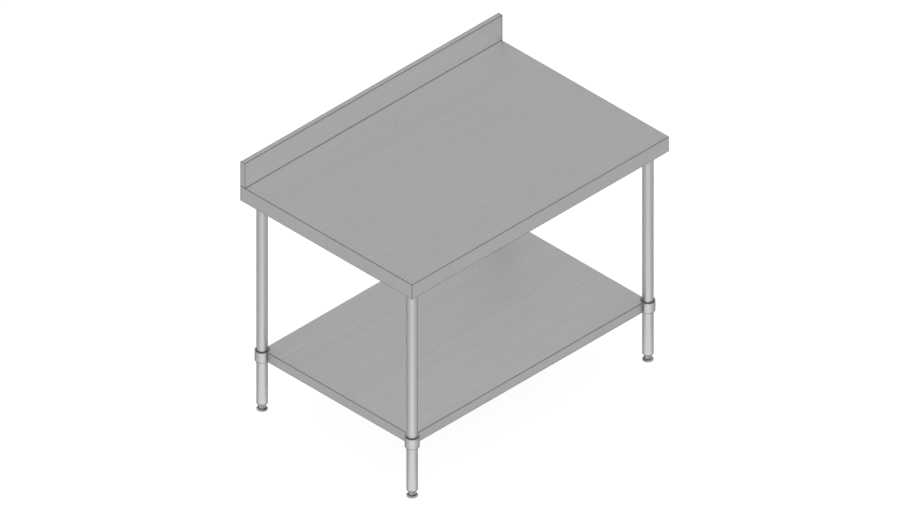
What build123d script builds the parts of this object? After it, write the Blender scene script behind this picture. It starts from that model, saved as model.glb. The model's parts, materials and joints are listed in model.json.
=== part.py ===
from build123d import *

import os
from math import atan2, cos, degrees, radians, sqrt

# A free-standing stainless work table with a splashback, an undershelf and screw feet.
# Millimetres. +Z is up, the front faces -Y, the splashback stands along +Y, and the length runs along X.
# The origin is on the floor, under the middle of the footprint.

# Worktop: one folded sheet with a splashback along the rear edge
TOP_LENGTH = 1200.0
TOP_DEPTH = 800.0
TOP_HEIGHT = 900.0
EDGE_DEPTH = 60.0
SPLASH_HEIGHT = 100.0
SPLASH_THICKNESS = 20.0
SHEET = 1.2
FOLD_INSIDE = 0.8
FOLD_OUTSIDE = FOLD_INSIDE + SHEET
TOP_RETURN = 20.0
MITRE_GAP = 0.8

# Legs: plain round tube, set in from the worktop's edges
LEG_DIAMETER = 38.0
LEG_WALL = 1.2
LEG_INSET = 50.0
LEG_X = TOP_LENGTH / 2 - LEG_INSET
LEG_Y = TOP_DEPTH / 2 - LEG_INSET

# Channels glued under the worktop
CHANNEL_SHEET = 1.5
CHANNEL_WEB = 70.0
CHANNEL_FLANGE = 12.0
CHANNEL_DEPTH = 20.0
CROSS_CHANNEL_LENGTH = 740.0
LONG_CHANNEL_LENGTH = 1000.0
BOND_THICKNESS = 1.0
CHANNEL_TOP = TOP_HEIGHT - SHEET - BOND_THICKNESS
CHANNEL_BOTTOM = CHANNEL_TOP - CHANNEL_DEPTH

# Sound-deadening pads glued to the underside of the worktop
PAD_LENGTH = 380.0
PAD_WIDTH = 240.0
PAD_THICKNESS = 3.0
PAD_CORNER = 6.0
PAD_X = 250.0
PAD_Y = 210.0

# Leg sockets: a square flange bolted under a cross channel, with a short tube that the leg pushes into
SOCKET_PLATE = 64.0
SOCKET_PLATE_THICKNESS = 4.0
SOCKET_PLATE_CORNER = 6.0
SOCKET_OUTSIDE = 46.0
SOCKET_INSIDE = 38.4
SOCKET_LENGTH = 30.0
SOCKET_FILLET = 2.5
SOCKET_PLATE_BOTTOM = CHANNEL_BOTTOM - SOCKET_PLATE_THICKNESS
SOCKET_BOTTOM = SOCKET_PLATE_BOTTOM - SOCKET_LENGTH
SOCKET_GRUB_HEIGHT = SOCKET_PLATE_BOTTOM - SOCKET_LENGTH / 2
LEG_TOP = SOCKET_PLATE_BOTTOM

# M6 bolts and weld nuts that hold each socket, on a square pattern
BOLT_SPACING = 48.0
BOLT_DIAMETER = 6.0
BOLT_HOLE = 6.6
BOLT_LENGTH = 12.0
BOLT_HEX = 10.0
BOLT_HEAD_HEIGHT = 5.0
BOLT_FLANGE_DIAMETER = 13.0
BOLT_FLANGE_THICKNESS = 1.2
NUT_HEIGHT = 5.0
NUT_BORE = 6.1

# Grub screws: M6 in the sockets, M8 in the collars
SOCKET_GRUB_DIAMETER = 6.0
SOCKET_GRUB_LENGTH = 6.0
SOCKET_GRUB_HEX = 3.0
COLLAR_GRUB_DIAMETER = 8.0
COLLAR_GRUB_LENGTH = 6.0
COLLAR_GRUB_HEX = 4.0
GRUB_CLEARANCE = 0.05

# Bolts and grub screws have their ends chamfered by this share of their diameter
END_CHAMFER = 0.1

# Undershelf: a folded tray whose corners are cut round four collars
SHELF_TOP = 240.0
SHELF_EDGE = 40.0
SHELF_RETURN = 15.0
SHELF_BOTTOM = SHELF_TOP - SHELF_EDGE
COLLAR_GRUB_HEIGHT = SHELF_TOP - SHELF_EDGE / 2
COLLAR_DIAMETER = 50.0
COLLAR_BORE = 38.6
COLLAR_CHAMFER = 0.5
WELD_GAP = 0.05
SHELF_CHANNEL_LENGTH = 1040.0
SHELF_CHANNEL_WEB = 60.0
SHELF_CHANNEL_FLANGE = 15.0

# Threaded inserts pressed into the lower ends of the legs
INSERT_BOTTOM = 25.0
INSERT_RIM_HEIGHT = 3.0
INSERT_RIM_ROUNDING = 2.0
INSERT_LEAD_IN = 1.0
INSERT_BODY_HEIGHT = 25.0
INSERT_PRESS_GAP = 0.05
LEG_BOTTOM = INSERT_BOTTOM + INSERT_RIM_HEIGHT

# Screw feet: a stud, a hexagon on a domed round flange, and a glide pad under the flange
STUD_DIAMETER = 12.0
STUD_CLEARANCE = 0.08
STUD_TOP = 65.0
STUD_BOTTOM = 11.0
STUD_SEAT_GAP = 0.02
STUD_CHAMFER = 1.2
FOOT_HEX = 24.0
FOOT_HEX_GAP = 0.4
FOOT_HEX_TOP = INSERT_BOTTOM - FOOT_HEX_GAP
FOOT_HEX_CHAMFER = 2.4
FOOT_DIAMETER = 38.0
FOOT_UNDERSIDE = 1.0
FOOT_RIM_TOP = 3.0
FOOT_DOME_TOP = 6.5
FOOT_DOME_TOP_DIAMETER = 28.0
FOOT_DOME_BULGE = 0.5
GLIDE_DIAMETER = 32.8
GLIDE_THICKNESS = 3.5
GLIDE_EDGE = 0.6
GLIDE_SIDE_GAP = 0.3
GLIDE_TOP_GAP = 0.05
GLIDE_PEG_DIAMETER = 8.0
GLIDE_PEG_TOP = 8.5
GLIDE_PEG_CLEARANCE = 0.08

# Cutting tools run this far past the faces that they cut, and places agree when they are this close
OVERCUT = 1.0
NEAR = 0.05

# Corners seen from the front: left is -X, front is -Y
CORNERS = {
    "front_left": (-1, -1),
    "front_right": (1, -1),
    "rear_left": (-1, 1),
    "rear_right": (1, 1),
}


def block(x_range, y_range, z_range):
    """A box between three pairs of limits."""
    size = [high - low for low, high in (x_range, y_range, z_range)]
    middle = [(high + low) / 2 for low, high in (x_range, y_range, z_range)]
    return Pos(*middle) * Box(*size)


def rod(diameter, bottom, top):
    """An upright cylinder on the Z axis between two heights."""
    return Pos(0, 0, (bottom + top) / 2) * Cylinder(diameter / 2, top - bottom)


def drill(diameter, bottom, top):
    """A cylinder that cuts a hole on the Z axis between two heights, run past both."""
    return rod(diameter, bottom - OVERCUT, top + OVERCUT)


def hexagon(across_flats, bottom, top):
    """An upright hexagonal prism on the Z axis, with two of its corners on X."""
    outline = RegularPolygon(across_flats / 2, 6, major_radius=False)
    return Pos(0, 0, bottom) * extrude(outline, top - bottom)


def at_corner(shape, corner):
    """A shape moved from the Z axis to the axis of one leg."""
    side_x, side_y = CORNERS[corner]
    return Pos(side_x * LEG_X, side_y * LEG_Y, 0) * shape


def edges_along(shape, axis, **places):
    """The edges parallel to an axis whose centres are at the given x, y and z."""
    found = shape.edges().filter_by(axis)
    for name, value in places.items():
        found = [edge for edge in found if abs(getattr(edge.center(), name.upper()) - value) < NEAR]
    return found


def cove(half_length, y, z, radius):
    """The strip along X that rounds the corner between a level face at height z and one that rises at y."""
    strip = block((-half_length, half_length), (y - radius, y), (z, z + radius))
    hollow = Pos(0, y - radius, z + radius) * Rot(0, 90, 0) * Cylinder(radius, 3 * half_length)
    return strip - hollow


def return_mitres(half_x, half_y, return_width, bottom):
    """Slits along the diagonals where neighbouring returns of a folded tray meet."""
    reach = return_width * sqrt(2) - FOLD_OUTSIDE
    slit = Box(reach, MITRE_GAP, 2 * (SHEET + OVERCUT))
    slits = []
    for side_x, side_y in CORNERS.values():
        turn = 45 * side_x * side_y
        x = side_x * (half_x - return_width / 2 - FOLD_OUTSIDE / 2)
        y = side_y * (half_y - return_width / 2 - FOLD_OUTSIDE / 2)
        slits.append(Pos(x, y, bottom) * Rot(0, 0, turn) * slit)
    return slits


def worktop_panel():
    """The folded worktop: top, four edges with returns, and a hollow splashback open at its ends."""
    half_x = TOP_LENGTH / 2
    half_y = TOP_DEPTH / 2
    splash_y = half_y - SPLASH_THICKNESS
    bottom = TOP_HEIGHT - EDGE_DEPTH
    splash_top = TOP_HEIGHT + SPLASH_HEIGHT

    tray = block((-half_x, half_x), (-half_y, splash_y), (bottom, TOP_HEIGHT))
    folds = edges_along(tray, Axis.X, y=-half_y)
    folds += edges_along(tray, Axis.Y, x=-half_x) + edges_along(tray, Axis.Y, x=half_x)
    folds += edges_along(tray, Axis.Z, y=-half_y)
    tray = fillet(folds, FOLD_OUTSIDE)

    back = block((-half_x, half_x), (splash_y, half_y), (bottom, TOP_HEIGHT))
    folds = edges_along(back, Axis.X, y=half_y, z=bottom)
    folds += edges_along(back, Axis.Y, z=bottom)
    back = fillet(folds, FOLD_OUTSIDE)
    splash_x = half_x - SHEET
    splash = block((-splash_x, splash_x), (splash_y, half_y), (TOP_HEIGHT, splash_top))
    splash = fillet(edges_along(splash, Axis.X, z=splash_top), FOLD_OUTSIDE)
    bend_x = half_x - FOLD_OUTSIDE
    outside = tray + back + splash + cove(bend_x, splash_y, TOP_HEIGHT, FOLD_INSIDE)

    front_y = SHEET - half_y
    rear_y = half_y - SHEET
    room = block((-splash_x, splash_x), (front_y, rear_y), (bottom + SHEET, TOP_HEIGHT - SHEET))
    folds = edges_along(room, Axis.X, y=front_y) + edges_along(room, Axis.X, y=rear_y, z=bottom + SHEET)
    folds += edges_along(room, Axis.Y) + edges_along(room, Axis.Z, y=front_y)
    room = fillet(folds, FOLD_INSIDE)
    splash_room = block(
        (-splash_x, splash_x),
        (splash_y + SHEET, rear_y),
        (bottom + SPLASH_THICKNESS, splash_top - SHEET),
    )
    splash_room = fillet(edges_along(splash_room, Axis.X, z=splash_top - SHEET), FOLD_INSIDE)
    room += splash_room + cove(bend_x, splash_y + SHEET, TOP_HEIGHT - SHEET, FOLD_OUTSIDE)

    mouth = block(
        (TOP_RETURN - half_x, half_x - TOP_RETURN),
        (TOP_RETURN - half_y, half_y - TOP_RETURN),
        (bottom - OVERCUT, bottom + SHEET + OVERCUT),
    )
    panel = outside - room - mouth
    return panel - return_mitres(half_x, half_y, TOP_RETURN, bottom)


def splash_end(side):
    """The plate welded over one end of the hollow splashback."""
    outline = Rectangle(SPLASH_THICKNESS, SPLASH_HEIGHT)
    outline = fillet(outline.vertices().group_by(Axis.Y)[-1], FOLD_OUTSIDE)
    plate = extrude(Plane.YZ * outline, SHEET)
    x = TOP_LENGTH / 2 - SHEET if side > 0 else -TOP_LENGTH / 2
    return Pos(x, TOP_DEPTH / 2 - SPLASH_THICKNESS / 2, TOP_HEIGHT + SPLASH_HEIGHT / 2) * plate


def hat_channel(length, web, flange, sheet):
    """A folded hat section along X: its flanges' upper faces at z = 0, and its web below them."""
    flange_y = web / 2 + flange
    side_y = (web - sheet) / 2
    high = -sheet / 2
    low = sheet / 2 - CHANNEL_DEPTH
    middle_line = FilletPolyline(
        (-flange_y, high),
        (-side_y, high),
        (-side_y, low),
        (side_y, low),
        (side_y, high),
        (flange_y, high),
        radius=FOLD_INSIDE + sheet / 2,
    )
    section = trace(middle_line, sheet)
    return Pos(-length / 2, 0, 0) * extrude(Plane.YZ * section, length)


def socket_bolt_places():
    """Where the four bolts of one socket stand, about the leg's axis."""
    half = BOLT_SPACING / 2
    return [(x, y) for x in (-half, half) for y in (-half, half)]


def at_every_bolt(shape):
    """Copies of a shape on the axes of all the bolts of all four sockets."""
    return Compound([
        at_corner(Pos(x, y, 0) * shape, corner)
        for corner in CORNERS
        for x, y in socket_bolt_places()
    ])


def cross_channel(side):
    """The channel across one end of the worktop, drilled for the bolts of two sockets."""
    channel = hat_channel(CROSS_CHANNEL_LENGTH, CHANNEL_WEB, CHANNEL_FLANGE, CHANNEL_SHEET)
    channel = Pos(side * LEG_X, 0, CHANNEL_TOP) * Rot(0, 0, 90) * channel
    hole = drill(BOLT_HOLE, CHANNEL_BOTTOM, CHANNEL_BOTTOM + CHANNEL_SHEET)
    holes = [
        Pos(side * LEG_X + x, end * LEG_Y + y, 0) * hole
        for end in (-1, 1)
        for x, y in socket_bolt_places()
    ]
    return channel - holes


def long_channel():
    """The channel along the middle of the worktop."""
    channel = hat_channel(LONG_CHANNEL_LENGTH, CHANNEL_WEB, CHANNEL_FLANGE, CHANNEL_SHEET)
    return Pos(0, 0, CHANNEL_TOP) * channel


def bonding_strips():
    """Strips of tape between every channel flange and the worktop."""
    width = CHANNEL_FLANGE - FOLD_INSIDE
    offset = CHANNEL_WEB / 2 + CHANNEL_FLANGE - width / 2
    z_range = (CHANNEL_TOP, CHANNEL_TOP + BOND_THICKNESS)
    half_cross = CROSS_CHANNEL_LENGTH / 2
    half_long = LONG_CHANNEL_LENGTH / 2
    strips = []
    for side in (-1, 1):
        y = side * offset
        strips.append(block((-half_long, half_long), (y - width / 2, y + width / 2), z_range))
        for end in (-1, 1):
            x = end * LEG_X + side * offset
            strips.append(block((x - width / 2, x + width / 2), (-half_cross, half_cross), z_range))
    return Compound(strips)


def deadening_pads():
    """Four flat pads under the worktop, between the channels."""
    pad = Box(PAD_LENGTH, PAD_WIDTH, PAD_THICKNESS)
    pad = fillet(pad.edges().filter_by(Axis.Z), PAD_CORNER)
    middle = TOP_HEIGHT - SHEET - PAD_THICKNESS / 2
    return Compound([Pos(x * PAD_X, y * PAD_Y, middle) * pad for x, y in CORNERS.values()])


def across(shape, corner, height):
    """A shape turned from the Z axis to point along X from a leg's axis, towards the middle of the table."""
    side_x, _ = CORNERS[corner]
    return at_corner(Pos(0, 0, height) * Rot(0, -90 * side_x, 0) * shape, corner)


def inward(shape, corner, height):
    """A shape turned from the Z axis to point from a leg's axis along a diagonal into the table."""
    side_x, side_y = CORNERS[corner]
    heading = degrees(atan2(-side_y, -side_x))
    return at_corner(Pos(0, 0, height) * Rot(0, 0, heading) * Rot(0, 90, 0) * shape, corner)


def is_socket_ring(edge):
    """Whether a circular edge runs round the outside of a socket's tube."""
    return abs(edge.radius - SOCKET_OUTSIDE / 2) < NEAR


def leg_socket(corner):
    """One socket: a drilled square flange and the tube that takes the leg, tapped for a grub screw."""
    half_plate = SOCKET_PLATE / 2
    side = (-half_plate, half_plate)
    plate = block(side, side, (SOCKET_PLATE_BOTTOM, CHANNEL_BOTTOM))
    plate = fillet(plate.edges().filter_by(Axis.Z), SOCKET_PLATE_CORNER)
    tube = rod(SOCKET_OUTSIDE, SOCKET_BOTTOM, SOCKET_PLATE_BOTTOM)
    body = plate + tube
    rings = body.edges().filter_by(GeomType.CIRCLE).filter_by(is_socket_ring)
    body = fillet(rings.group_by(Axis.Z)[-1], SOCKET_FILLET)
    body -= rod(SOCKET_INSIDE, SOCKET_BOTTOM - OVERCUT, SOCKET_PLATE_BOTTOM)
    hole = drill(BOLT_HOLE, SOCKET_PLATE_BOTTOM, CHANNEL_BOTTOM)
    body -= [Pos(x, y, 0) * hole for x, y in socket_bolt_places()]
    tapping = rod(SOCKET_GRUB_DIAMETER + 2 * GRUB_CLEARANCE, 0, SOCKET_OUTSIDE)
    return at_corner(body, corner) - across(tapping, corner, SOCKET_GRUB_HEIGHT)


def socket_bolts():
    """The flanged hexagon bolts that hold the sockets up to the cross channels."""
    seat = SOCKET_PLATE_BOTTOM
    bolt = rod(BOLT_DIAMETER, seat, seat + BOLT_LENGTH)
    bolt = chamfer(bolt.edges().group_by(Axis.Z)[-1], BOLT_DIAMETER * END_CHAMFER)
    bolt += rod(BOLT_FLANGE_DIAMETER, seat - BOLT_FLANGE_THICKNESS, seat)
    bolt += hexagon(BOLT_HEX, seat - BOLT_HEAD_HEIGHT, seat - BOLT_FLANGE_THICKNESS)
    return at_every_bolt(bolt)


def socket_weld_nuts():
    """The nuts welded inside the cross channels."""
    seat = CHANNEL_BOTTOM + CHANNEL_SHEET
    nut = hexagon(BOLT_HEX, seat, seat + NUT_HEIGHT) - drill(NUT_BORE, seat, seat + NUT_HEIGHT)
    return at_every_bolt(nut)


def grub_screw(diameter, length, hex_size, start):
    """A headless screw on the Z axis, from a start near the leg's axis out to its hexagonal key socket."""
    screw = rod(diameter, start, start + length)
    screw = chamfer(screw.edges().group_by(Axis.Z)[0], diameter * END_CHAMFER)
    return screw - hexagon(hex_size, start + length / 2, start + length + OVERCUT)


def socket_grub_screws():
    """The screws that lock the legs in their sockets."""
    start = LEG_DIAMETER / 2 + GRUB_CLEARANCE
    screw = grub_screw(SOCKET_GRUB_DIAMETER, SOCKET_GRUB_LENGTH, SOCKET_GRUB_HEX, start)
    return Compound([across(screw, corner, SOCKET_GRUB_HEIGHT) for corner in CORNERS])


def leg(corner):
    """One plain tube leg, from the rim of its insert to the flange of its socket."""
    tube = rod(LEG_DIAMETER, LEG_BOTTOM, LEG_TOP)
    bore = drill(LEG_DIAMETER - 2 * LEG_WALL, LEG_BOTTOM, LEG_TOP)
    return at_corner(tube - bore, corner)


def leg_insert(corner):
    """The plug pressed into a leg's lower end, with a rounded rim and a threaded bore for the foot."""
    rim = rod(LEG_DIAMETER, INSERT_BOTTOM, LEG_BOTTOM)
    rim = fillet(rim.edges().group_by(Axis.Z)[0], INSERT_RIM_ROUNDING)
    body_diameter = LEG_DIAMETER - 2 * LEG_WALL - 2 * INSERT_PRESS_GAP
    body = rod(body_diameter, LEG_BOTTOM, LEG_BOTTOM + INSERT_BODY_HEIGHT)
    body = chamfer(body.edges().group_by(Axis.Z)[-1], INSERT_LEAD_IN)
    bore = drill(STUD_DIAMETER + 2 * STUD_CLEARANCE, INSERT_BOTTOM, LEG_BOTTOM + INSERT_BODY_HEIGHT)
    return at_corner(rim + body - bore, corner)


def undershelf_panel():
    """The folded shelf tray, its corners cut away round the collars."""
    sides = (-LEG_X, LEG_X), (-LEG_Y, LEG_Y)
    outside = block(*sides, (SHELF_BOTTOM, SHELF_TOP))
    outside = fillet(outside.edges().filter_by(Axis.Z, reverse=True), FOLD_OUTSIDE)
    inner_sides = [(low + SHEET, high - SHEET) for low, high in sides]
    room = block(*inner_sides, (SHELF_BOTTOM + SHEET, SHELF_TOP - SHEET))
    room = fillet(room.edges().filter_by(Axis.Z, reverse=True), FOLD_INSIDE)
    mouth_sides = [(low + SHELF_RETURN, high - SHELF_RETURN) for low, high in sides]
    mouth = block(*mouth_sides, (SHELF_BOTTOM - OVERCUT, SHELF_BOTTOM + SHEET + OVERCUT))
    notch = drill(COLLAR_DIAMETER + 2 * WELD_GAP, SHELF_BOTTOM, SHELF_TOP)
    return outside - room - mouth - [at_corner(notch, corner) for corner in CORNERS]


def shelf_collar(corner):
    """One collar that slides on a leg, tapped for a grub screw that faces into the shelf."""
    ring = rod(COLLAR_DIAMETER, SHELF_BOTTOM, SHELF_TOP)
    ring = chamfer(ring.edges().filter_by(GeomType.CIRCLE), COLLAR_CHAMFER)
    ring -= drill(COLLAR_BORE, SHELF_BOTTOM, SHELF_TOP)
    tapping = rod(COLLAR_GRUB_DIAMETER + 2 * GRUB_CLEARANCE, 0, COLLAR_DIAMETER)
    return at_corner(ring, corner) - inward(tapping, corner, COLLAR_GRUB_HEIGHT)


def collar_grub_screws():
    """The screws that lock the collars on the legs, backed off to the collars' bores."""
    screw = grub_screw(COLLAR_GRUB_DIAMETER, COLLAR_GRUB_LENGTH, COLLAR_GRUB_HEX, COLLAR_BORE / 2)
    return Compound([inward(screw, corner, COLLAR_GRUB_HEIGHT) for corner in CORNERS])


def shelf_channel():
    """The hat section spot-welded along the middle of the shelf's underside."""
    channel = hat_channel(SHELF_CHANNEL_LENGTH, SHELF_CHANNEL_WEB, SHELF_CHANNEL_FLANGE, SHEET)
    return Pos(0, 0, SHELF_TOP - SHEET) * channel


def foot_stud(corner):
    """The threaded stud of one foot, at its thread's outer diameter."""
    stud = rod(STUD_DIAMETER, STUD_BOTTOM, STUD_TOP)
    return at_corner(chamfer(stud.edges().group_by(Axis.Z)[-1], STUD_CHAMFER), corner)


def foot_base(corner):
    """The hexagon and domed flange of one foot, bored for the stud and recessed for the glide pad."""
    rim = FOOT_DIAMETER / 2
    dome = FOOT_DOME_TOP_DIAMETER / 2
    bulge = ((rim + dome) / 2 + FOOT_DOME_BULGE, (FOOT_RIM_TOP + FOOT_DOME_TOP) / 2 + FOOT_DOME_BULGE)
    outline = [
        Line((0, FOOT_UNDERSIDE), (rim, FOOT_UNDERSIDE)),
        Line((rim, FOOT_UNDERSIDE), (rim, FOOT_RIM_TOP)),
        ThreePointArc((rim, FOOT_RIM_TOP), bulge, (dome, FOOT_DOME_TOP)),
        Line((dome, FOOT_DOME_TOP), (0, FOOT_DOME_TOP)),
        Line((0, FOOT_DOME_TOP), (0, FOOT_UNDERSIDE)),
    ]
    flange = revolve(Plane.XZ * make_face(outline), Axis.Z)
    nut = hexagon(FOOT_HEX, FOOT_DOME_TOP, FOOT_HEX_TOP)
    hex_corner_radius = FOOT_HEX / 2 / cos(radians(30))
    top_radius = hex_corner_radius - FOOT_HEX_CHAMFER
    cone = Pos(0, 0, FOOT_HEX_TOP / 2) * Cone(top_radius + FOOT_HEX_TOP, top_radius, FOOT_HEX_TOP)
    base = flange + (nut & cone)
    base -= rod(STUD_DIAMETER + 2 * STUD_SEAT_GAP, STUD_BOTTOM, FOOT_HEX_TOP + OVERCUT)
    recess_top = GLIDE_THICKNESS + GLIDE_TOP_GAP
    base -= rod(GLIDE_DIAMETER + 2 * GLIDE_SIDE_GAP, 0, recess_top)
    base -= rod(GLIDE_PEG_DIAMETER + 2 * GLIDE_PEG_CLEARANCE, 0, GLIDE_PEG_TOP + GLIDE_SIDE_GAP)
    return at_corner(base, corner)


def glide_pad(corner):
    """The plastic pad that snaps under one foot, its peg in the flange's centre hole."""
    pad = rod(GLIDE_DIAMETER, 0, GLIDE_THICKNESS)
    pad = chamfer(pad.edges().group_by(Axis.Z)[0], GLIDE_EDGE)
    peg = rod(GLIDE_PEG_DIAMETER, GLIDE_THICKNESS, GLIDE_PEG_TOP)
    peg = chamfer(peg.edges().group_by(Axis.Z)[-1], GLIDE_EDGE)
    return at_corner(pad + peg, corner)


def all_nodes():
    """Every sub-part by name."""
    nodes = {
        "worktop_panel": worktop_panel(),
        "splash_end_left": splash_end(-1),
        "splash_end_right": splash_end(1),
        "cross_channel_left": cross_channel(-1),
        "cross_channel_right": cross_channel(1),
        "long_channel": long_channel(),
        "channel_bonding_strips": bonding_strips(),
        "sound_deadening_pads": deadening_pads(),
        "socket_bolts": socket_bolts(),
        "socket_weld_nuts": socket_weld_nuts(),
        "socket_grub_screws": socket_grub_screws(),
        "undershelf_panel": undershelf_panel(),
        "shelf_channel": shelf_channel(),
        "collar_grub_screws": collar_grub_screws(),
    }
    repeated = {
        "leg_socket": leg_socket,
        "leg": leg,
        "leg_insert": leg_insert,
        "shelf_collar": shelf_collar,
        "foot_stud": foot_stud,
        "foot_base": foot_base,
        "glide_pad": glide_pad,
    }
    for name, make in repeated.items():
        for corner in CORNERS:
            nodes[f"{name}_{corner}"] = make(corner)
    return nodes


os.makedirs("parts", exist_ok=True)
for node, shape in all_nodes().items():
    export_step(shape, f"parts/{node}.step")
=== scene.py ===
import json
import math

import bmesh
import bpy
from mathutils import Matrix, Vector


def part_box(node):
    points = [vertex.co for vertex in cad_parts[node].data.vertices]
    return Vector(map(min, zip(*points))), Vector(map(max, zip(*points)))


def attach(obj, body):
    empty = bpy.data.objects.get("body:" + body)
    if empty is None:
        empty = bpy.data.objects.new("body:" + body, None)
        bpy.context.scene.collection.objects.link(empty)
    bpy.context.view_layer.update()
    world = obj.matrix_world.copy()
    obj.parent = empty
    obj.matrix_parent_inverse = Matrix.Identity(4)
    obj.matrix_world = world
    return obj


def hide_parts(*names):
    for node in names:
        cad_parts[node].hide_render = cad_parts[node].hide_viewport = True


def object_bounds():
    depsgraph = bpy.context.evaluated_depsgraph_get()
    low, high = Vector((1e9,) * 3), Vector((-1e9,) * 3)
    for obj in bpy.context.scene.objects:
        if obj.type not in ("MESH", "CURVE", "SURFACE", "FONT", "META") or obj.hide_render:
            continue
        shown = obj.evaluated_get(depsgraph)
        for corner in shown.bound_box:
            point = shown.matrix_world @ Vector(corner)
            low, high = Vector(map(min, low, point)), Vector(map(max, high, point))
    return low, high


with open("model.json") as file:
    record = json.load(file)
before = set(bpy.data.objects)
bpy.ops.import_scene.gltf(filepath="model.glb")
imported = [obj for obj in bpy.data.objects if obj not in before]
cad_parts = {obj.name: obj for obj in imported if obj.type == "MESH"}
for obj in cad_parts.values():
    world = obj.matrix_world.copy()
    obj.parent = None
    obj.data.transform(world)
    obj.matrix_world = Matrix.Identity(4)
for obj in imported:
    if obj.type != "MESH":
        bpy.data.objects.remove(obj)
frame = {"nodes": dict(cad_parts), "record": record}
cad_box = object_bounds()
nodes = frame["nodes"]

MM = 0.001
CORNERS = {
    "front_left": (-1, -1),
    "front_right": (1, -1),
    "rear_left": (-1, 1),
    "rear_right": (1, 1),
}

# ---------------------------------------------------------------------------------------------
# Material building blocks
# ---------------------------------------------------------------------------------------------

# Probes and ranges for the painted shade in corners, joints and along edges.
PROBE_SAMPLES = 6
CREVICE_OPENNESS = (0.5, 0.97)
EDGE_AGREEMENT = (0.78, 0.98)
LOWER_EDGE_SLOPE = (-0.25, -0.04)
UNDERSIDE_SLOPE = -0.75


class Surface:
    """One procedural material: its node tree, with short ways to add and join nodes."""

    def __init__(self, name, roughness, metallic=0.0):
        self.material = bpy.data.materials.new(name)
        self.material.use_nodes = True
        self.tree = self.material.node_tree
        self.shader = self.tree.nodes["Principled BSDF"]
        self.set(self.shader, Roughness=roughness, Metallic=metallic)

    def set(self, node, **inputs):
        """Values or links for a node's inputs. An input is named, or numbered as _0, _1 and so on."""
        for name, value in inputs.items():
            key = int(name[1:]) if name[0] == "_" else name.replace("_", " ")
            if isinstance(value, bpy.types.NodeSocket):
                self.tree.links.new(value, node.inputs[key])
            else:
                node.inputs[key].default_value = value
        return node

    def add(self, kind, **inputs):
        """A new node of that kind."""
        return self.set(self.tree.nodes.new(kind), **inputs)

    def math(self, operation, a, b=0.0):
        node = self.add("ShaderNodeMath", _0=a, _1=b)
        node.operation = operation
        return node.outputs[0]

    def product(self, *factors):
        """All the factors multiplied together."""
        result = factors[0]
        for factor in factors[1:]:
            result = self.math("MULTIPLY", result, factor)
        return result

    def sum(self, *terms):
        """All the terms added together."""
        result = terms[0]
        for term in terms[1:]:
            result = self.math("ADD", result, term)
        return result

    def remap(self, value, start, end, low, high):
        """A value carried from the range start to end on to low to high, and held at the range's ends."""
        node = self.add("ShaderNodeMapRange", Value=value)
        self.set(node, From_Min=start, From_Max=end, To_Min=low, To_Max=high)
        return node.outputs["Result"]

    def spread(self, noise, low, high):
        """A noise value, which stays near the middle of 0 to 1, carried to the range low to high."""
        return self.remap(noise, 0.3, 0.7, low, high)

    def own(self):
        """The piece's own coordinates, in metres."""
        return self.add("ShaderNodeTexCoord").outputs["Object"]

    def placed(self, where, scale=(1.0, 1.0, 1.0), turn=(0.0, 0.0, 0.0)):
        return self.add("ShaderNodeMapping", Vector=where, Scale=scale, Rotation=turn).outputs["Vector"]

    def noise(self, where, scale=1.0, detail=2.0, distortion=0.0):
        node = self.add("ShaderNodeTexNoise", Vector=where, Scale=scale)
        self.set(node, Detail=detail, Distortion=distortion)
        return node.outputs["Fac"]

    def split(self, vector):
        """The x, y and z of a vector."""
        node = self.add("ShaderNodeSeparateXYZ", Vector=vector)
        return node.outputs["X"], node.outputs["Y"], node.outputs["Z"]

    def blend(self, factor, a, b):
        """a where the factor is 0 and b where it is 1."""
        return self.sum(a, self.product(factor, self.math("SUBTRACT", b, a)))

    def crevice_shade(self, reach, darkest):
        """Painted shade: 1 in the open, falling to darkest in corners and joints narrower than the reach,
        found by an occlusion probe.
        """
        node = self.add("ShaderNodeAmbientOcclusion", Distance=reach)
        node.samples = PROBE_SAMPLES
        return self.remap(node.outputs["AO"], *CREVICE_OPENNESS, darkest, 1.0)

    def edge(self, radius, darkest):
        """Painted shade along edges: 1 on open faces, falling to darkest along edges."""
        node = self.add("ShaderNodeBevel", Radius=radius)
        node.samples = PROBE_SAMPLES
        true_normal = self.add("ShaderNodeNewGeometry").outputs["Normal"]
        agreement = self.add("ShaderNodeVectorMath", _0=node.outputs["Normal"], _1=true_normal)
        agreement.operation = "DOT_PRODUCT"
        return self.remap(agreement.outputs["Value"], *EDGE_AGREEMENT, darkest, 1.0)

    def lower_edge_shade(self, radius, darkest):
        """Painted shade: 1 on open faces, falling to darkest on an upright face just above its lower
        edge.
        """
        node = self.add("ShaderNodeBevel", Radius=radius)
        node.samples = PROBE_SAMPLES
        _, _, nearby_slope = self.split(node.outputs["Normal"])
        _, _, slope = self.split(self.add("ShaderNodeNewGeometry").outputs["Normal"])
        upright = self.math("GREATER_THAN", slope, UNDERSIDE_SLOPE)
        return self.blend(upright, 1.0, self.remap(nearby_slope, *LOWER_EDGE_SLOPE, darkest, 1.0))

    def bump(self, height, distance, strength=1.0, normal=None):
        node = self.add("ShaderNodeBump", Height=height, Distance=distance, Strength=strength)
        if normal is not None:
            self.set(node, Normal=normal)
        return node.outputs["Normal"]

    def colour(self, tone, factor):
        """Gives the shader a colour multiplied by a factor that varies over the surface."""
        node = self.add("ShaderNodeVectorMath", _0=tone)
        node.operation = "SCALE"
        self.set(node, Scale=factor)
        self.set(self.shader, Base_Color=node.outputs["Vector"])


# ---------------------------------------------------------------------------------------------
# Materials
# ---------------------------------------------------------------------------------------------


BEND_FACING = 0.9
FLAT_FACING = 0.995
END_FACING = 0.7


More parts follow.
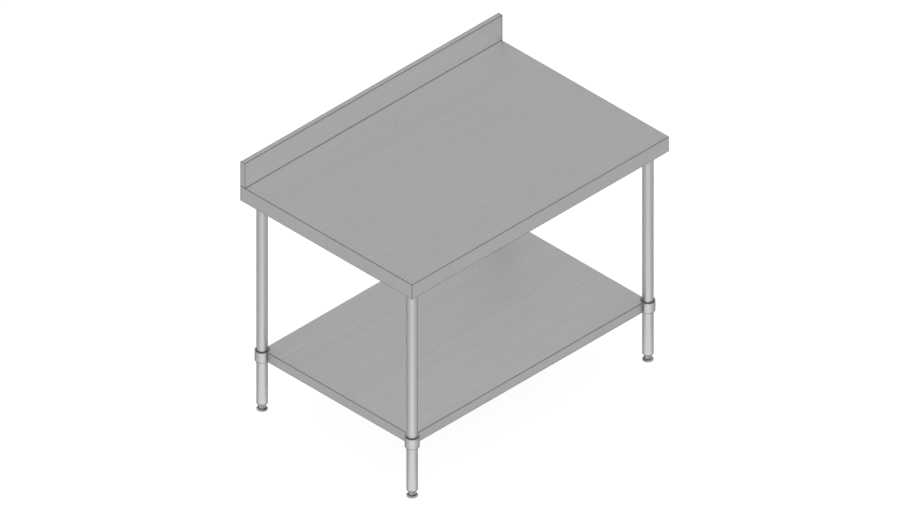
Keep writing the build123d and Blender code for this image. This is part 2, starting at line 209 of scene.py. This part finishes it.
def flats_and_folds(surface, fold_shade_factor):
    """1 on a folded sheet's flats, falling to the given factor on its bends as a painted shade; and how
    far the sheet faces along X.
    """
    x, y, z = surface.split(surface.add("ShaderNodeTexCoord").outputs["Normal"])
    along_x, along_y, along_z = (surface.math("ABSOLUTE", value) for value in (x, y, z))
    straightest = surface.math("MAXIMUM", surface.math("MAXIMUM", along_x, along_y), along_z)
    return surface.remap(straightest, BEND_FACING, FLAT_FACING, fold_shade_factor, 1.0), along_x


def grain(surface, facing_x, across, along):
    """Brushed lines along X, which run down Z on the faces that were folded down at the ends."""
    where = surface.own()
    lengthwise = surface.noise(surface.placed(where, (along, across, across)), detail=3.0)
    upright = surface.noise(surface.placed(where, (across, across, along)), detail=3.0)
    return surface.blend(surface.math("GREATER_THAN", facing_x, END_FACING), lengthwise, upright)


SCRATCH_STRETCH = 0.05
SCRATCH_WIDTH = 0.004
PATCH_SCALE = 9.0
PATCH_LEVEL = 0.58


def stray_scratches(surface, turn, spacing):
    """Thin stray lines at one heading, kept to scattered patches: 1 on a scratch and 0 elsewhere."""
    where = surface.placed(surface.own(), turn=(0.0, 0.0, turn))
    stretched = surface.placed(where, (spacing * SCRATCH_STRETCH, spacing, spacing))
    field = surface.noise(stretched, detail=1.0, distortion=0.3)
    from_middle = surface.math("ABSOLUTE", surface.math("SUBTRACT", field, 0.5))
    line = surface.math("LESS_THAN", from_middle, SCRATCH_WIDTH)
    patch = surface.math("GREATER_THAN", surface.noise(where, scale=PATCH_SCALE, detail=1.0), PATCH_LEVEL)
    return surface.product(line, patch)


# How dark the painted shade is on bends, in corners, along edges and above lower edges, and how far it
# reaches.
FOLD_SHADE_TONE = 0.22
CREVICE_SHADE_TONE = 0.85
CREVICE_REACH = 4 * MM
EDGE_SHADE_TONE = 0.6
EDGE_REACH = 2 * MM
LOWER_EDGE_SHADE_TONE = 0.2
LOWER_EDGE_REACH = 5 * MM


def brushed_sheet(name, tone, roughness):
    """Satin brushed stainless sheet: fine grain, faint bands, smudges, stray scratches and rougher bends,
    with painted shade on the bends, in crevices and along the edges.
    """
    surface = Surface(name, roughness, metallic=1.0)
    fold_shade, facing_x = flats_and_folds(surface, FOLD_SHADE_TONE)
    crevice_shade = surface.crevice_shade(CREVICE_REACH, CREVICE_SHADE_TONE)
    # Lifts the painted bend shade where the painted corner shade is darkest, so concave bends are not
    # shaded twice.
    fold_shade = surface.blend(surface.remap(crevice_shade, CREVICE_SHADE_TONE, 1.0, 1.0, 0.0), fold_shade, 1.0)
    fine = grain(surface, facing_x, across=2400.0, along=9.0)
    coarse = grain(surface, facing_x, across=380.0, along=2.5)
    bands = grain(surface, facing_x, across=55.0, along=0.7)
    smudge = surface.noise(surface.own(), scale=3.3, detail=4.0, distortion=0.7)
    scratch = surface.math(
        "MAXIMUM",
        stray_scratches(surface, turn=0.5, spacing=60.0),
        stray_scratches(surface, turn=-0.9, spacing=45.0),
    )
    surface.colour(tone, surface.product(
        surface.spread(fine, 0.94, 1.06),
        surface.spread(coarse, 0.965, 1.035),
        surface.spread(bands, 0.98, 1.02),
        surface.spread(smudge, 0.985, 1.015),
        surface.remap(scratch, 0.0, 1.0, 1.0, 0.93),
        # Painted shade in corners and joints, along edges, above lower edges and on bends.
        crevice_shade,
        surface.edge(EDGE_REACH, EDGE_SHADE_TONE),
        surface.lower_edge_shade(LOWER_EDGE_REACH, LOWER_EDGE_SHADE_TONE),
        fold_shade,
    ))
    rough = surface.sum(
        surface.spread(fine, roughness - 0.05, roughness + 0.05),
        surface.spread(smudge, -0.03, 0.04),
        surface.remap(fold_shade, FOLD_SHADE_TONE, 1.0, 0.12, 0.0),
    )
    waves = surface.bump(surface.noise(surface.own(), scale=4.5, detail=1.0), distance=0.5 * MM)
    normal = surface.bump(fine, distance=0.01 * MM, strength=0.6, normal=waves)
    surface.set(surface.shader, Roughness=rough, Normal=normal)
    return surface.material


def about_legs(surface):
    """The piece's own coordinates measured from the axis of the nearest leg."""
    low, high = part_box("leg_rear_right")
    axis = (low + high) / 2
    x, y, z = surface.split(surface.own())
    near_x = surface.math("SUBTRACT", surface.math("ABSOLUTE", x), axis.x)
    near_y = surface.math("SUBTRACT", surface.math("ABSOLUTE", y), axis.y)
    return surface.add("ShaderNodeCombineXYZ", X=near_x, Y=near_y, Z=z).outputs["Vector"]


# How dark the painted shade is in joints, along edges and above lower edges of the round steel.
ROUND_CREVICE_SHADE_TONE = 0.45
ROUND_EDGE_SHADE_TONE = 0.3
ROUND_LOWER_EDGE_SHADE_TONE = 0.25


def polished_round(name, tone, roughness, ring_scale, gloss, crevice_shade_reach=6 * MM, edge_shade_reach=3.5 * MM):
    """Steel polished round an upright axis: fine rings and light rubbing, with painted shade in joints
    and along edges.
    """
    surface = Surface(name, roughness, metallic=1.0)
    where = about_legs(surface)
    rings = surface.noise(surface.placed(where, (40.0, 40.0, ring_scale)), detail=2.0)
    rubbed = surface.noise(surface.placed(where, (220.0, 220.0, 2.0)), detail=2.0)
    cloud = surface.noise(where, scale=9.0, detail=3.0)
    surface.colour((tone, tone, tone * 1.005), surface.product(
        surface.spread(rings, 0.965, 1.035),
        surface.spread(rubbed, 0.985, 1.015),
        surface.spread(cloud, 0.985, 1.015),
        # Painted shade in joints, along edges and above lower edges.
        surface.crevice_shade(crevice_shade_reach, ROUND_CREVICE_SHADE_TONE),
        surface.edge(edge_shade_reach, ROUND_EDGE_SHADE_TONE),
        surface.lower_edge_shade(edge_shade_reach, ROUND_LOWER_EDGE_SHADE_TONE),
    ))
    rough = surface.sum(
        surface.spread(rings, roughness - 0.03, roughness + 0.03),
        surface.spread(cloud, -0.02, 0.03),
    )
    normal = surface.bump(rings, distance=0.008 * MM, strength=0.5)
    surface.set(surface.shader, Roughness=rough, Normal=normal)
    surface.set(surface.shader, Specular_Tint=(gloss, gloss, gloss, 1.0))
    return surface.material


def weld_metal(name, tone):
    """Cleaned weld: duller and darker than the sheet, pitted and unevenly glossy."""
    surface = Surface(name, 0.45, metallic=1.0)
    heat = surface.noise(surface.own(), scale=320.0, detail=3.0)
    pits = surface.noise(surface.own(), scale=2600.0, detail=2.0)
    mottle = surface.product(surface.spread(heat, 0.85, 1.15), surface.spread(pits, 0.8, 1.15))
    surface.colour(tone, mottle)
    normal = surface.bump(pits, distance=0.05 * MM, strength=0.6)
    surface.set(surface.shader, Roughness=surface.spread(heat, 0.38, 0.55), Normal=normal)
    return surface.material


def galvanised(name, tone):
    """Zinc-coated sheet: crystal spangle of slightly different greys and gloss."""
    surface = Surface(name, 0.45, metallic=1.0)
    cells = surface.add("ShaderNodeTexVoronoi", Vector=surface.own(), Scale=90.0).outputs["Color"]
    red, green, _ = surface.split(cells)
    dust = surface.noise(surface.own(), scale=35.0, detail=4.0)
    surface.colour(tone, surface.product(
        surface.remap(red, 0.0, 1.0, 0.88, 1.08),
        surface.spread(dust, 0.94, 1.04),
        # Painted shade in corners and joints.
        surface.crevice_shade(6 * MM, 0.4),
    ))
    rough = surface.sum(surface.remap(green, 0.0, 1.0, 0.34, 0.5), surface.spread(dust, 0.0, 0.08))
    normal = surface.bump(dust, distance=0.05 * MM, strength=0.5)
    surface.set(surface.shader, Roughness=rough, Normal=normal)
    return surface.material


def cast_metal(name, tone):
    """As-cast aluminium: a fine blasted skin."""
    surface = Surface(name, 0.5, metallic=1.0)
    skin = surface.noise(surface.own(), scale=900.0, detail=3.0)
    cloud = surface.noise(surface.own(), scale=40.0, detail=3.0)
    surface.colour(tone, surface.product(
        surface.spread(skin, 0.92, 1.06),
        surface.spread(cloud, 0.95, 1.04),
        # Painted shade in corners and joints.
        surface.crevice_shade(6 * MM, 0.4),
    ))
    normal = surface.bump(skin, distance=0.12 * MM, strength=0.6)
    surface.set(surface.shader, Roughness=surface.spread(cloud, 0.42, 0.56), Normal=normal)
    return surface.material


def dark_moulded(name, tone, scale, roughness, relief):
    """Dark tape, pad or moulded plastic: a fine grained skin with dull patches."""
    surface = Surface(name, roughness)
    skin = surface.noise(surface.own(), scale=scale, detail=4.0)
    dust = surface.noise(surface.own(), scale=scale / 12, detail=3.0)
    surface.colour(tone, surface.product(surface.spread(skin, 0.8, 1.2), surface.spread(dust, 0.85, 1.2)))
    surface.set(surface.shader, Roughness=surface.spread(dust, roughness - 0.08, roughness + 0.08))
    surface.set(surface.shader, Normal=surface.bump(skin, distance=relief, strength=0.7))
    return surface.material


MATERIALS = {
    "stainless_sheet": brushed_sheet("stainless_sheet", (0.375, 0.375, 0.377), 0.52),
    "stainless_tube": polished_round("stainless_tube", 0.41, 0.45, ring_scale=1500.0, gloss=0.0),
    "stainless_turned": polished_round(
        "stainless_turned", 0.41, 0.45, ring_scale=3200.0, gloss=0.0,
        crevice_shade_reach=12 * MM, edge_shade_reach=5 * MM,
    ),
    "fastener_steel": polished_round("fastener_steel", 0.5, 0.32, ring_scale=2600.0, gloss=0.5),
    "galvanised_channel": galvanised("galvanised_channel", (0.55, 0.565, 0.575)),
    "cast_aluminium": cast_metal("cast_aluminium", (0.56, 0.56, 0.565)),
    "bonding_tape": dark_moulded("bonding_tape", (0.035, 0.035, 0.035), 700.0, 0.8, 0.1 * MM),
    "deadening_pad": dark_moulded("deadening_pad", (0.045, 0.045, 0.048), 260.0, 0.75, 0.4 * MM),
    "glide_nylon": dark_moulded("glide_nylon", (0.03, 0.03, 0.032), 1200.0, 0.45, 0.03 * MM),
}
WELD = weld_metal("weld_metal", (0.17, 0.17, 0.17))

for part in frame["record"]["subparts"]:
    for slot in nodes[part["node"]].material_slots:
        slot.material = MATERIALS[part["material_slot"]]

# ---------------------------------------------------------------------------------------------
# Pieces
# ---------------------------------------------------------------------------------------------


def add_piece(name, shape, material, body, sharp_angle):
    """Turns a bmesh into a shaded piece that rides on a body."""
    bmesh.ops.recalc_face_normals(shape, faces=shape.faces)
    mesh = bpy.data.meshes.new(name)
    shape.to_mesh(mesh)
    shape.free()
    mesh.shade_smooth()
    mesh.set_sharp_from_angle(angle=math.radians(sharp_angle))
    mesh.materials.append(material)
    piece = bpy.data.objects.new(name, mesh)
    bpy.context.scene.collection.objects.link(piece)
    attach(piece, body)
    return piece


def ring_of(shape, centre, side, other, radius_at, count):
    """A ring of vertices in the plane of side and other, at radius_at(turn) for each turn from 0 to 1."""
    ring = []
    for k in range(count):
        angle = 2 * math.pi * k / count
        reach = radius_at(k / count)
        ring.append(shape.verts.new(centre + (side * math.cos(angle) + other * math.sin(angle)) * reach))
    return ring


def join_rings(shape, rings):
    """Faces between each ring of vertices and the next, with a cap on each end."""
    for ring, following in zip(rings, rings[1:]):
        for i in range(len(ring)):
            j = (i + 1) % len(ring)
            shape.faces.new((ring[i], ring[j], following[j], following[i]))
    shape.faces.new(rings[0])
    shape.faces.new(rings[-1])


def sweep(shape, path, radius_at, sides=8):
    """A round bar along a path of points. Its radius is radius_at(distance along the path)."""
    rings = []
    distance = 0.0
    side = (path[1] - path[0]).orthogonal()
    for i, point in enumerate(path):
        ahead = path[min(i + 1, len(path) - 1)]
        behind = path[max(i - 1, 0)]
        heading = (ahead - behind).normalized()
        side = (side - heading * side.dot(heading)).normalized()
        distance += (point - behind).length
        radius = radius_at(distance)
        rings.append(ring_of(shape, point, side, heading.cross(side), lambda turn: radius, sides))
    join_rings(shape, rings)


def spaced(corners, step):
    """Points about a step apart along straight lines through the corners."""
    points = [corners[0]]
    for start, end in zip(corners, corners[1:]):
        count = max(1, round((end - start).length / step))
        points += [start.lerp(end, i / count) for i in range(1, count + 1)]
    return points


def arc(centre, first, second, radius, start, end, count):
    """Points along an arc about a centre. The angles are measured from the direction first to second."""
    angles = [math.radians(start + (end - start) * i / count) for i in range(count + 1)]
    return [centre + (first * math.cos(a) + second * math.sin(a)) * radius for a in angles]


X_AXIS, Y_AXIS, Z_AXIS = Vector((1, 0, 0)), Vector((0, 1, 0)), Vector((0, 0, 1))

# Threaded studs

THREAD_PITCH = 1.75 * MM
THREAD_DEPTH = 1.07 * MM
THREAD_CREST = 0.2
THREAD_ROOT = 0.25
THREAD_SIDES = 30
ROWS_PER_TURN = 10
STUD_LEAD_IN = 1.2 * MM


def thread_depth(phase):
    """A thread's depth, from 0 at its crest to the full depth at its root, at a phase from 0 to 1."""
    distance = abs(phase - 0.5) * 2
    flank = 1 - THREAD_CREST - THREAD_ROOT
    return THREAD_DEPTH * min(1.0, max(0.0, (distance - THREAD_CREST) / flank))


def threaded_stud(corner):
    """A right-hand threaded rod with tapered ends in place of the plain stud of one foot."""
    low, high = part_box(f"foot_stud_{corner}")
    radius = (high.x - low.x) / 2
    shape = bmesh.new()
    rings = []
    rows = round((high.z - low.z) / THREAD_PITCH * ROWS_PER_TURN)
    for row in range(rows + 1):
        centre = (low + high) / 2
        centre.z = low.z + (high.z - low.z) * row / rows
        widest = radius - max(0.0, STUD_LEAD_IN - min(centre.z - low.z, high.z - centre.z))

        def reach(turn):
            return min(widest, radius - thread_depth((centre.z / THREAD_PITCH - turn) % 1))

        rings.append(ring_of(shape, centre, X_AXIS, Y_AXIS, reach, THREAD_SIDES))
    join_rings(shape, rings)
    name, body, slot = f"threaded_stud_{corner}", f"foot_screw_{corner}", "fastener_steel"
    stud = add_piece(name, shape, MATERIALS[slot], body, sharp_angle=30)
    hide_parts(f"foot_stud_{corner}")


# Welds

BEAD_RADIUS = 1.1 * MM
BEAD_STEP = 0.6 * MM
BEAD_BOTTOM_MARGIN = 2.5 * MM
BEAD_BEND_ANGLE = 5
RIPPLE_LENGTH = 2.4 * MM
RIPPLE_HEIGHT = 0.2
SHEET_FOLD = 2.0 * MM
SEAM_RADIUS = 1.1 * MM
SEAM_STEP = 2 * MM
SEAM_BEND_STEPS = 5


def rippled(distance):
    """A weld bead's radius, with one overlapping ripple after another."""
    return BEAD_RADIUS * (1 - RIPPLE_HEIGHT * ((distance / RIPPLE_LENGTH) % 1) ** 2)


def collar_weld(corner):
    """The bead between one collar and the shelf: up one edge, over the top and down the other edge."""
    side_x, side_y = CORNERS[corner]
    low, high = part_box("undershelf_panel")
    collar_low, collar_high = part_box(f"shelf_collar_{corner}")
    centre = (collar_low + collar_high) / 2
    centre.z = high.z
    radius = (collar_high.x - collar_low.x) / 2
    into_x, into_y = X_AXIS * -side_x, Y_AXIS * -side_y
    steps = round(radius * math.pi / 2 / BEAD_STEP)
    over = arc(centre, into_y, into_x, radius, BEAD_BEND_ANGLE, 90 - BEAD_BEND_ANGLE, steps)
    edges = []
    for direction in (into_y, into_x):
        foot = centre + direction * radius
        top = foot - Z_AXIS * SHEET_FOLD
        foot.z = low.z + BEAD_BOTTOM_MARGIN
        edges.append(spaced([foot, top], BEAD_STEP))
    shape = bmesh.new()
    sweep(shape, edges[0] + over + edges[1][::-1], rippled)
    add_piece(f"collar_weld_{corner}", shape, WELD, "undershelf", sharp_angle=60)


def splash_end_weld(side):
    """The dressed weld round one splashback end and down the rear corner, and the seam below the end."""
    low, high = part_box(f"splash_end_{side}")
    worktop_low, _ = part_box("worktop_panel")
    x = low.x if side == "left" else high.x
    front_bend = Vector((x, low.y + SHEET_FOLD, high.z - SHEET_FOLD))
    rear_bend = Vector((x, high.y - SHEET_FOLD, high.z - SHEET_FOLD))
    front_foot, rear_foot = Vector((x, low.y, low.z)), Vector((x, high.y, low.z))
    outline = [front_foot]
    outline += arc(front_bend, -Y_AXIS, Z_AXIS, SHEET_FOLD, 0, 90, SEAM_BEND_STEPS)
    outline += arc(rear_bend, Z_AXIS, Y_AXIS, SHEET_FOLD, 0, 90, SEAM_BEND_STEPS)
    outline += [rear_foot, Vector((x, high.y, worktop_low.z + SHEET_FOLD))]
    shape = bmesh.new()
    for path in (outline, [rear_foot, front_foot]):
        sweep(shape, spaced(path, SEAM_STEP), lambda distance: SEAM_RADIUS)
    add_piece(f"splash_end_weld_{side}", shape, WELD, "table_frame", sharp_angle=60)


SPOT_RADIUS = 3.2 * MM
SPOT_SPACING = 80 * MM
SPOT_SIDES = 20
SPOT_PROFILE = ((1.0, 0.02 * MM), (0.88, 0.2 * MM), (0.72, 0.06 * MM), (0.3, 0.02 * MM))
CHANNEL_SHEET = 1.5 * MM
CHANNEL_FLANGE = 15 * MM


def shelf_spot_welds():
    """The rows of electrode marks along both flanges of the channel under the shelf."""
    low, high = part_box("shelf_channel")
    underside = high.z - CHANNEL_SHEET
    gaps = int((high.x - low.x - SPOT_SPACING / 2) / SPOT_SPACING)
    shape = bmesh.new()
    for y in (low.y + CHANNEL_FLANGE / 2, high.y - CHANNEL_FLANGE / 2):
        for i in range(gaps + 1):
            x = (i - gaps / 2) * SPOT_SPACING
            rings = []
            for reach, height in SPOT_PROFILE:
                centre = Vector((x, y, underside - height))
                radius = SPOT_RADIUS * reach
                rings.append(ring_of(shape, centre, X_AXIS, Y_AXIS, lambda turn: radius, SPOT_SIDES))
            join_rings(shape, rings)
    add_piece("shelf_spot_welds", shape, WELD, "undershelf", sharp_angle=50)


for corner in CORNERS:
    threaded_stud(corner)
    collar_weld(corner)
for side in ("left", "right"):
    splash_end_weld(side)
shelf_spot_welds()

# ---------------------------------------------------------------------------------------------
# Stage: floor, light and camera
# ---------------------------------------------------------------------------------------------

FLOOR_SIZE = 160.0
FLOOR_LEVEL = -0.0255
FLOOR_TONE = 0.15
FLOOR_GLOW = 0.9


def light_table_floor():
    """A pale floor that glows like a light table, low enough to leave the extended feet in sight."""
    shape = bmesh.new()
    bmesh.ops.create_grid(shape, x_segments=1, y_segments=1, size=FLOOR_SIZE / 2)
    mesh = bpy.data.meshes.new("studio_floor")
    shape.to_mesh(mesh)
    shape.free()
    floor = bpy.data.objects.new("studio_floor", mesh)
    floor.location.z = FLOOR_LEVEL
    bpy.context.scene.collection.objects.link(floor)
    surface = Surface("studio_floor", 0.9)
    cloud = surface.noise(surface.own(), scale=0.8, detail=2.0)
    surface.colour((FLOOR_TONE, FLOOR_TONE, FLOOR_TONE), surface.spread(cloud, 0.99, 1.01))
    surface.set(surface.shader, Specular_IOR_Level=0.0)
    surface.set(surface.shader, Emission_Color=(1.0, 1.0, 1.0, 1.0), Emission_Strength=FLOOR_GLOW)
    mesh.materials.append(surface.material)


def soft_light(name, place, target, size, radiance, shape="RECTANGLE"):
    """A rectangular or oval softbox of even brightness that looks at a target."""
    data = bpy.data.lights.new(name, "AREA")
    data.shape = shape
    data.size, data.size_y = size
    area = size[0] * size[1] * (math.pi / 4 if shape == "ELLIPSE" else 1.0)
    data.energy = radiance * math.pi * area
    light = bpy.data.objects.new(name, data)
    light.location = place
    light.rotation_euler = (Vector(target) - Vector(place)).to_track_quat("-Z", "Y").to_euler()
    light.visible_camera = False
    bpy.context.scene.collection.objects.link(light)
    return light


CARD_LENGTH = 2.0
CARD_WIDTH = 0.8
CARD_RADIANCE = 0.62
CARD_RAISE = 5 * MM
CARD_TURN = math.radians(45.0)


def leg_card(corner):
    """An oval light card on the floor before one leg, seen only in its round steel."""
    low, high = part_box(f"leg_{corner}")
    place = (low + high) / 2 - (X_AXIS + Y_AXIS).normalized() * CARD_LENGTH / 2
    place.z = FLOOR_LEVEL + CARD_RAISE
    size = (CARD_LENGTH, CARD_WIDTH)
    card = soft_light(f"card_{corner}", place, place + Z_AXIS, size, CARD_RADIANCE, "ELLIPSE")
    card.rotation_euler.z += CARD_TURN
    card.light_linking.receiver_collection = bpy.data.collections.new(f"lit_by_card_{corner}")
    for name in ("leg", "leg_insert", "shelf_collar"):
        card.light_linking.receiver_collection.objects.link(nodes[f"{name}_{corner}"])


def fill_light(name, low, high, facing, radiance):
    """A soft light that covers a flat stretch, from its lowest to its highest corner."""
    centre = (low + high) / 2
    extent = high - low
    soft_light(name, centre, centre + facing, (extent.x, max(extent.y, extent.z)), radiance)


CLOSE_GAP = 0.8 * MM
UNDER_WORKTOP_GAP = 2 * MM
OVER_SHELF_GAP = 3 * MM
SHELF_MARGIN = 30 * MM


def fill_mirroring_faces():
    """Soft lights just off the faces that mirror each other, to even out their reflections."""
    low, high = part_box("worktop_panel")
    splash_low, splash_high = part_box("splash_end_left")
    left, right = low.x + 5 * MM, high.x - 5 * MM

    z = low.z - UNDER_WORKTOP_GAP
    start, end = Vector((left, low.y + 5 * MM, z)), Vector((right, high.y - 5 * MM, z))
    fill_light("fill_under_worktop", start, end, -Z_AXIS, radiance=0.98)

    z = splash_low.z + CLOSE_GAP
    start, end = Vector((left, low.y + 10 * MM, z)), Vector((right, splash_low.y - 1 * MM, z))
    fill_light("fill_over_worktop", start, end, Z_AXIS, radiance=0.72)

    y = splash_low.y - CLOSE_GAP
    start, end = Vector((left, y, splash_low.z + 1.1 * MM)), Vector((right, y, splash_high.z - 1.9 * MM))
    fill_light("fill_by_splashback", start, end, -Y_AXIS, radiance=0.7)

    low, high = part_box("undershelf_panel")
    z = high.z + OVER_SHELF_GAP
    start = Vector((low.x + SHELF_MARGIN, low.y + SHELF_MARGIN, z))
    end = Vector((high.x - SHELF_MARGIN, high.y - SHELF_MARGIN, z))
    fill_light("fill_over_shelf", start, end, Z_AXIS, radiance=0.6)


def white_surround(strength):
    """An even white studio all round."""
    world = bpy.data.worlds.new("studio")
    world.use_nodes = True
    background = world.node_tree.nodes["Background"]
    background.inputs["Color"].default_value = (1.0, 1.0, 1.0, 1.0)
    background.inputs["Strength"].default_value = strength
    bpy.context.scene.world = world


CAMERA_AZIMUTH = math.radians(-45.0)
CAMERA_ELEVATION = math.asin(math.tan(math.radians(30.0)))
CAMERA_DISTANCE = 6.0
CAMERA_RAISE = 0.017
FRAME_WIDTH = 3.002


def isometric_camera():
    """A true isometric view of the front left corner, without perspective."""
    level = Vector((math.sin(CAMERA_AZIMUTH), -math.cos(CAMERA_AZIMUTH), 0.0))
    back = level * math.cos(CAMERA_ELEVATION) + Z_AXIS * math.sin(CAMERA_ELEVATION)
    low, high = cad_box
    data = bpy.data.cameras.new("camera")
    data.type = "ORTHO"
    data.ortho_scale = FRAME_WIDTH
    camera = bpy.data.objects.new("camera", data)
    camera.location = (low + high) / 2 + Z_AXIS * CAMERA_RAISE + back * CAMERA_DISTANCE
    camera.rotation_euler = (-back).to_track_quat("-Z", "Y").to_euler()
    bpy.context.scene.collection.objects.link(camera)
    bpy.context.scene.camera = camera


SURROUND_STRENGTH = 1.09

light_table_floor()
isometric_camera()
white_surround(SURROUND_STRENGTH)
soft_light("softbox", place=(-3.2, -3.2, 1.7), target=(0.0, 0.0, 0.6), size=(2.2, 2.8), radiance=1.5)
for corner in CORNERS:
    leg_card(corner)
fill_mirroring_faces()
bpy.context.scene.view_settings.view_transform = "Standard"
